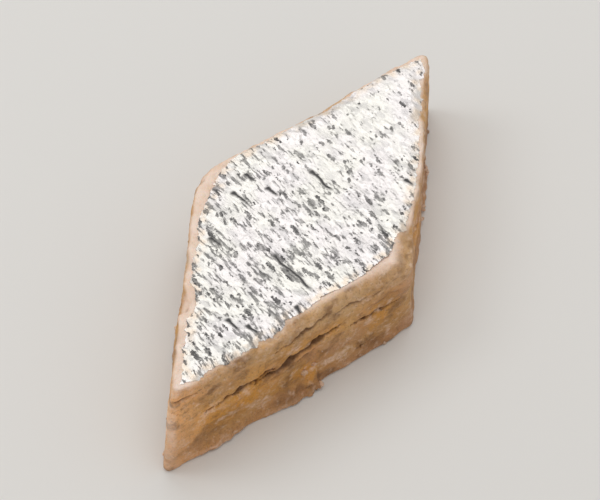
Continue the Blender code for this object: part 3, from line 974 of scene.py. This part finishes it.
class BARFI_OT_leaf(Operator):
    """Makes the sheet of silver leaf, torn along its edge and wrinkled all over"""

    bl_idname = "barfi.leaf"
    bl_label = "Silver Leaf"

    def execute(self, context):
        look = settings().leaf
        leaf = copy_of_node("cashew_paste", "barfi_leaf")  # the sheet starts as the top that it lies on
        remesh(leaf, look.cell)
        self.keep(leaf, lambda face: face.normal.z > LEAF_LEAN and face.center.z > PASTE_HIGH.z / 2)
        self.tear(leaf)
        wear_down(leaf)
        from_rim = rim_ruler(leaf)

        def clear(vertex):
            return ramp(from_rim(vertex.co), *CRUMPLED_REACH)

        inner = set_group(leaf, "inner", clear)
        crumpled = set_group(leaf, "crumpled", lambda vertex: self.crumple(vertex) * clear(vertex))
        apply_modifier(
            leaf, "DISPLACE", strength=look.wrinkles, mid_level=0.0, vertex_group=crumpled, direction="Z")
        apply_modifier(leaf, "SMOOTH", factor=0.5, iterations=1, vertex_group=inner)
        folds = set_group(leaf, "folds", self.fold)
        apply_modifier(leaf, "DISPLACE", strength=look.wrinkles, mid_level=0.0, vertex_group=folds)
        # Painted shade along the folds, for the material to read.
        mark(leaf, "fold_shade", [self.fold(vertex) for vertex in leaf.data.vertices])
        mark(leaf, "thin", [
            ramp(from_rim(vertex.co), *THIN_REACH) * rough(vertex.co * PER_MM, 1.1, depth=1.2, level=0.5)
            for vertex in leaf.data.vertices])
        apply_modifier(leaf, "DISPLACE", strength=look.thickness * LIFT, mid_level=0.0)
        apply_modifier(leaf, "SOLIDIFY", thickness=look.thickness, offset=1.0)
        finish_piece(leaf, leaf_material(look), node="silver_leaf")
        return {"FINISHED"}

    def keep(self, leaf, wanted):
        """Deletes the faces that aren't wanted."""
        with editing(leaf, "FACE"):
            bpy.ops.mesh.select_all(action="DESELECT")
        for face in leaf.data.polygons:
            face.select = not wanted(face)
        with editing(leaf, "FACE"):
            bpy.ops.mesh.delete(type="FACE")

    def crumple(self, vertex):
        """How high the crumpled sheet stands at a vertex, on facets that each lean their own way."""
        place = vertex.co.xy * PER_MM
        height = 0.5
        for facets in FACETS:
            across = place.cross(CREASE_RUN) / facets.across
            spot = Vector((place.dot(CREASE_RUN) / facets.along, across, 0))
            middle = noise.voronoi(spot)[1][0]
            lean = noise.cell_vector(middle * FACET_SPREAD) - Vector((0.5, 0.5, 0.5))
            height += facets.lean * lean.xy.dot(spot.xy - middle.xy)
        return height

    def fold(self, vertex):
        """How far a vertex lies up a fold, from 0 to 1."""
        height = 0
        for crease in CREASES:
            offset = vertex.co.xy * PER_MM - Vector((crease.x, crease.y))
            along = offset.dot(CREASE_RUN)
            wander = FOLD_WANDER.depth * noise.noise(Vector((along / FOLD_WANDER.reach, crease.x, 0)))
            across = abs(offset.cross(CREASE_RUN) + wander)
            width = FOLD_WIDTH + KNOT_WIDTH * ramp(abs(along - KNOT_PLACE * crease.length), *KNOT_REACH)
            rise = ramp(across, width, FOLD_CREST * width)
            height = max(height, rise * ramp(abs(along), crease.length / 2, crease.length / 3))
        return height

    def tear(self, leaf):
        """Tears the leaf's edge back to an uneven line, wider at the corners, and smooths the torn edge."""
        from_rim = rim_ruler(leaf)

        def covered(face):
            flat = Vector((face.center.x, face.center.y, 0))
            side = nearest_side(flat)
            width = SIDE_MARGINS[side] + TORN_BACK * crumbled(side, flat) ** 4
            for corner, margin in zip(CORNERS, CORNER_MARGINS):
                width += margin * ramp((flat - corner).length, *CORNER_REACH)
            for tear in TEARS:
                width += rough(flat * PER_MM, tear.reach, tear.depth * MM)
            return from_rim(face.center) > width

        self.keep(leaf, covered)
        self.drop_flecks(leaf)
        with editing(leaf):
            bpy.ops.mesh.select_all(action="DESELECT")
            bpy.ops.mesh.select_non_manifold(extend=False)
            bpy.ops.mesh.vertices_smooth(factor=0.5, repeat=2)

    def drop_flecks(self, leaf):
        """Deletes what hangs on to the torn leaf by a corner, and what has come off it."""
        while pinched := {index for index, count in rim_uses(leaf).items() if count > 2}:
            self.keep(leaf, lambda face: pinched.isdisjoint(face.vertices))
        with editing(leaf):
            bpy.ops.mesh.select_all(action="DESELECT")
        min(leaf.data.vertices, key=lambda vertex: vertex.co.xy.length).select = True
        with editing(leaf):
            bpy.ops.mesh.select_linked()
            bpy.ops.mesh.select_all(action="INVERT")
            bpy.ops.mesh.delete(type="VERT")


class BARFI_OT_stage(Operator):
    """Sets up the floor, the lights and the camera"""

    bl_idname = "barfi.stage"
    bl_label = "Studio"

    def execute(self, context):
        look = settings().stage
        bpy.ops.object.select_all(action="DESELECT")
        bpy.ops.mesh.primitive_circle_add(vertices=96, radius=3.0, fill_type="NGON")
        floor = context.active_object
        floor.name = "floor"
        floor.data.materials.append(floor_material(look))
        for light in LIGHTS:
            self.add_light(light, look.key_power)
        self.add_sky(context, look)
        self.add_camera(context, look)
        context.scene.view_settings.view_transform = "Standard"
        return {"FINISHED"}

    def stand(self, azimuth, elevation, distance):
        """The place at these angles round the piece, and the turn that looks at the piece from there."""
        level = Vector((math.sin(azimuth), -math.cos(azimuth), 0)) * math.cos(elevation)
        direction = level + Vector((0, 0, math.sin(elevation)))
        middle = (CAD_BOX[0] + CAD_BOX[1]) / 2
        turn = direction.to_track_quat("Z", "Y").to_euler()
        return {"location": middle + direction * distance, "rotation": turn}

    def add_light(self, light, key_power):
        """Adds one round softbox."""
        stand = self.stand(math.radians(light.azimuth), math.radians(light.elevation), light.distance)
        bpy.ops.object.light_add(type="AREA", **stand)
        softbox = bpy.context.active_object
        softbox.name = light.name
        softbox.data.shape = "DISK"
        softbox.data.size = light.width
        softbox.data.energy = key_power * light.power
        softbox.data.color = light.colour

    def add_sky(self, context, look):
        """Lights the piece a little from all round."""
        sky = bpy.data.worlds.new("sky")
        sky.use_nodes = True
        sockets = sky.node_tree.nodes["Background"].inputs
        sockets["Color"].default_value = (*look.sky_colour, 1)
        sockets["Strength"].default_value = look.sky_strength
        context.scene.world = sky

    def add_camera(self, context, look):
        """Adds the camera, at the angle from which the real piece was seen."""
        bpy.ops.object.camera_add(**self.stand(look.azimuth, look.elevation, look.distance))
        camera = context.active_object
        camera.data.lens = camera.data.sensor_width * look.distance / look.view_width
        context.scene.camera = camera


class BARFI_PT_panel(Panel):
    """The steps and settings of the kaju barfi"""

    bl_idname = "BARFI_PT_panel"
    bl_label = "Kaju Barfi"
    bl_space_type = "VIEW_3D"
    bl_region_type = "UI"
    bl_category = "Kaju Barfi"

    def draw(self, context):
        """Lists each step with its own settings under it."""
        for step in STEPS:
            self.layout.operator(step.bl_idname)
            group = getattr(settings(), step.bl_idname.split(".")[1], None)
            for name in getattr(group, "__annotations__", ()):
                self.layout.prop(group, name)


class BarfiSettings(PropertyGroup):
    paste: PointerProperty(type=PasteSettings, name="Paste", description="Settings of the paste")
    leaf: PointerProperty(type=LeafSettings, name="Leaf", description="Settings of the silver leaf")
    crumbs: PointerProperty(type=CrumbSettings, name="Crumbs", description="Settings of the crumbs")
    stage: PointerProperty(type=StageSettings, name="Stage", description="Settings of the studio")


STEPS = (BARFI_OT_paste, BARFI_OT_crumbs, BARFI_OT_leaf, BARFI_OT_stage)
CLASSES = (PasteSettings, LeafSettings, CrumbSettings, StageSettings, BarfiSettings, *STEPS, BARFI_PT_panel)


def register():
    """Adds the steps, their settings and the panel to Blender."""
    for made in CLASSES:
        bpy.utils.register_class(made)
    bpy.types.Scene.kaju_barfi = PointerProperty(type=BarfiSettings)


def unregister():
    """Takes them out again."""
    del bpy.types.Scene.kaju_barfi
    for made in reversed(CLASSES):
        bpy.utils.unregister_class(made)


def main():
    """Makes the pieces and the stage."""
    register()
    bpy.ops.barfi.paste()
    bpy.ops.barfi.crumbs()
    bpy.ops.barfi.leaf()
    bpy.ops.barfi.stage()


if __name__ == "__main__":
    main()
